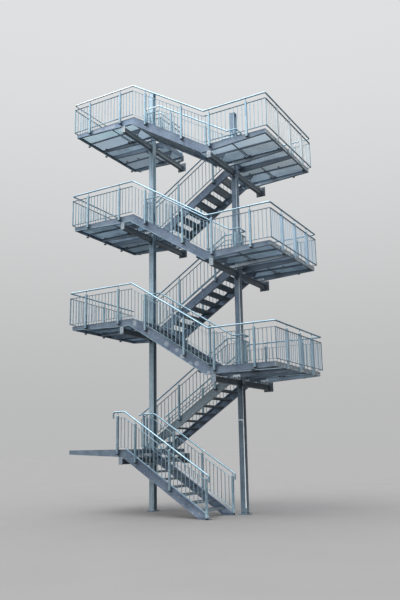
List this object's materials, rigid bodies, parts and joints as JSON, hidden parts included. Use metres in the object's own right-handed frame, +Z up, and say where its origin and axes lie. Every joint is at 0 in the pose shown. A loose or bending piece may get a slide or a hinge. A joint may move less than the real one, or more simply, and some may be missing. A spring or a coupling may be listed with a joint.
{
  "type": "fire escape stair",
  "caption": "Dog-leg steel fire escape stair with columns, wall-fixed beams, grating landings and treads, channel stringers and baluster railings.",
  "frame": {"origin": "centre of the right column's base plate, on its underside", "axes": "+X along the wall to the right, +Y into the wall, +Z up"},
  "size_m": [6.198, 3.212, 12.22],
  "materials": {
    "column_steel": "hot-dip galvanised, weathered matte",
    "beam_steel": "hot-dip galvanised, weathered matte",
    "frame_steel": "hot-dip galvanised, weathered matte",
    "stringer_steel": "hot-dip galvanised, weathered matte",
    "grating_steel": "hot-dip galvanised",
    "tread_steel": "hot-dip galvanised",
    "railing_steel": "hot-dip galvanised, bright spangle"
  },
  "bodies": {
    "root": {"column_right": "column_steel", "column_left": "column_steel", "column_base_plates": "column_steel", "beams_right": "beam_steel", "beams_left": "beam_steel", "door_landing_3_frame": "frame_steel", "door_landing_2_frame": "frame_steel", "door_landing_1_frame": "frame_steel", "door_landing_0_frame": "frame_steel", "half_landing_3_frame": "frame_steel", "half_landing_2_frame": "frame_steel", "half_landing_1_frame": "frame_steel", "door_landing_gratings": "grating_steel", "half_landing_gratings": "grating_steel", "outer_flight_3_stringers": "stringer_steel", "inner_flight_3_stringers": "stringer_steel", "outer_flight_2_stringers": "stringer_steel", "inner_flight_2_stringers": "stringer_steel", "outer_flight_1_stringers": "stringer_steel", "inner_flight_1_stringers": "stringer_steel", "outer_flight_0_stringers": "stringer_steel", "outer_flight_3_treads": "tread_steel", "inner_flight_3_treads": "tread_steel", "outer_flight_2_treads": "tread_steel", "inner_flight_2_treads": "tread_steel", "outer_flight_1_treads": "tread_steel", "inner_flight_1_treads": "tread_steel", "outer_flight_0_treads": "tread_steel", "outer_railing_3": "railing_steel", "outer_railing_2": "railing_steel", "outer_railing_1": "railing_steel", "left_end_railing_3": "railing_steel", "left_end_railing_2": "railing_steel", "left_end_railing_1": "railing_steel", "right_end_railing_3": "railing_steel", "right_end_railing_2": "railing_steel", "right_end_railing_1": "railing_steel", "wall_railing_3": "railing_steel", "wall_railing_2": "railing_steel", "wall_railing_1": "railing_steel", "well_railing_3": "railing_steel", "well_railing_2": "railing_steel", "well_railing_1": "railing_steel", "outer_flight_0_railings": "railing_steel", "closing_railing_3": "railing_steel"}
  },
  "joints": []
}
